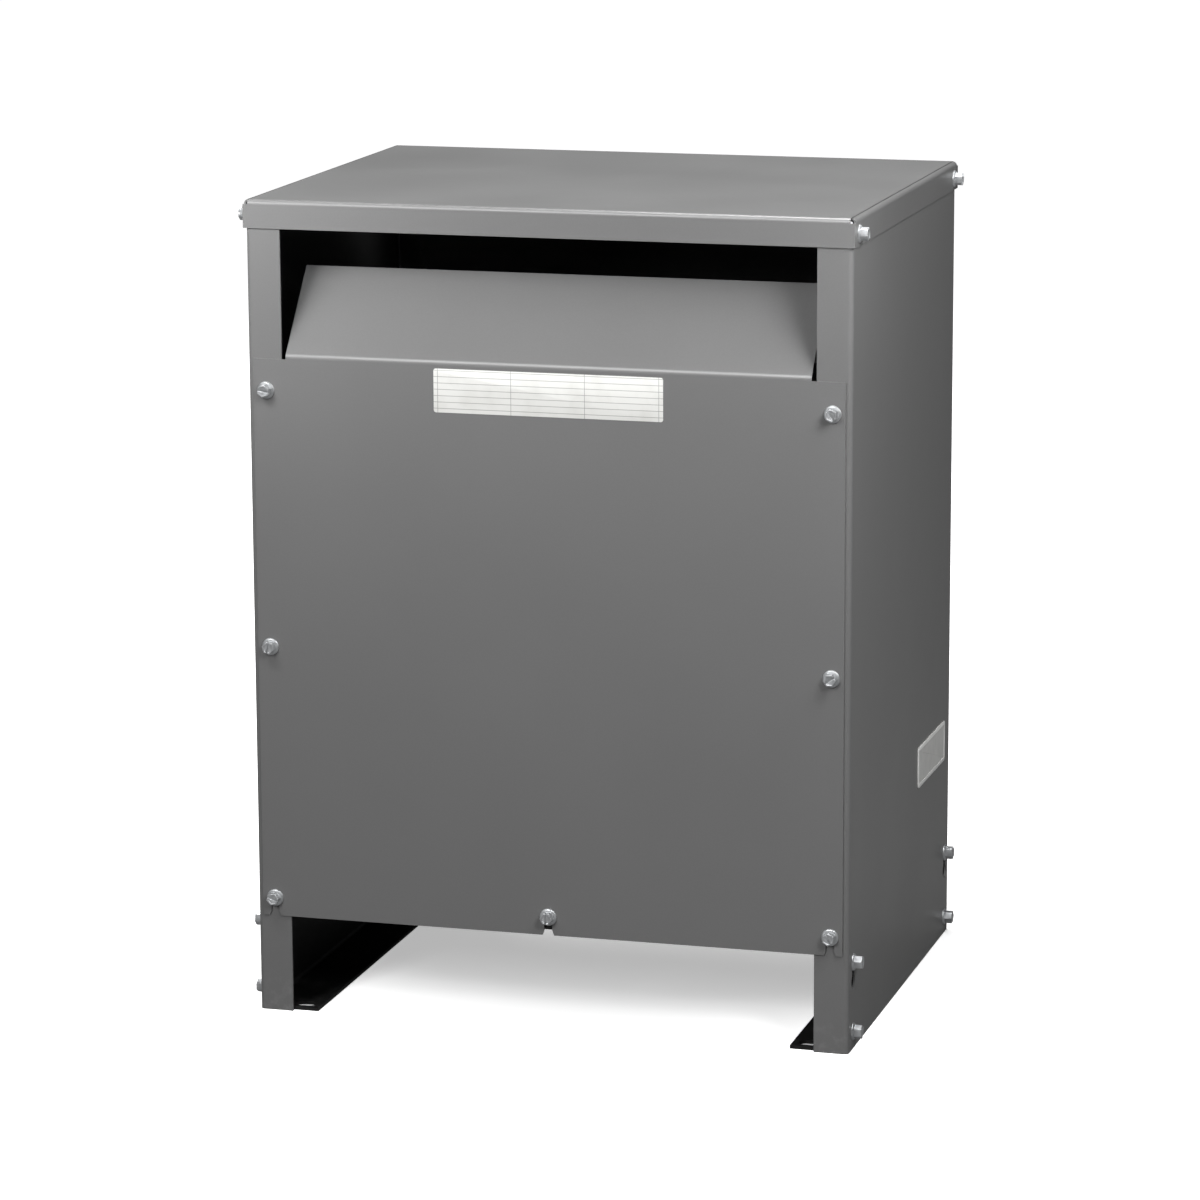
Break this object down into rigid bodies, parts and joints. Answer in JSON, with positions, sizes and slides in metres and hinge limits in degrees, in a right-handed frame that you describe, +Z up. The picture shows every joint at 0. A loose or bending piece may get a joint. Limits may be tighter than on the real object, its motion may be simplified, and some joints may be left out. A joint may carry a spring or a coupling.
{
  "type": "dry-type power transformer",
  "caption": "Floor-standing ventilated dry-type power transformer: bent-sheet enclosure with sloped air deflectors and screwed covers round a core and coil assembly on channel feet.",
  "frame": {"origin": "on the floor, at the middle of the enclosure's footprint", "axes": "+Z up, -Y towards the front cover, +X to the right as the front is seen"},
  "size_m": [0.5114, 0.3974, 0.686],
  "materials": {
    "enclosure_paint": "satin powder coat, mid grey",
    "base_paint": "black satin powder coat",
    "pad_rubber": "matte moulded rubber",
    "core_steel": "varnished lamination edges",
    "clamp_paint": "dark primer",
    "zinc_steel": "zinc plate",
    "inner_wrap": "varnished insulating paper",
    "outer_wrap": "varnished insulating wrap",
    "insulating_board": "pressed board",
    "terminal_laminate": "glass polyester laminate",
    "bar_metal": "tin plate"
  },
  "bodies": {
    "root": {"left_side_panel": "enclosure_paint", "right_side_panel": "enclosure_paint", "top_cover": "enclosure_paint", "front_cover": "enclosure_paint", "rear_cover": "enclosure_paint", "left_base_rail": "base_paint", "right_base_rail": "base_paint", "front_sill": "base_paint", "rear_sill": "base_paint", "front_cross_channel": "base_paint", "rear_cross_channel": "base_paint", "front_isolation_pads": "pad_rubber", "rear_isolation_pads": "pad_rubber", "lower_yoke": "core_steel", "upper_yoke": "core_steel", "left_core_leg": "core_steel", "centre_core_leg": "core_steel", "right_core_leg": "core_steel", "lower_front_clamp": "clamp_paint", "lower_rear_clamp": "clamp_paint", "upper_front_clamp": "clamp_paint", "upper_rear_clamp": "clamp_paint", "tie_rods": "zinc_steel", "left_inner_winding": "inner_wrap", "centre_inner_winding": "inner_wrap", "right_inner_winding": "inner_wrap", "left_outer_winding": "outer_wrap", "centre_outer_winding": "outer_wrap", "right_outer_winding": "outer_wrap", "lower_coil_blocks": "insulating_board", "upper_coil_blocks": "insulating_board", "upper_terminal_board": "terminal_laminate", "lower_terminal_board": "terminal_laminate", "high_voltage_bars": "bar_metal", "low_voltage_bars": "bar_metal"}
  },
  "joints": []
}
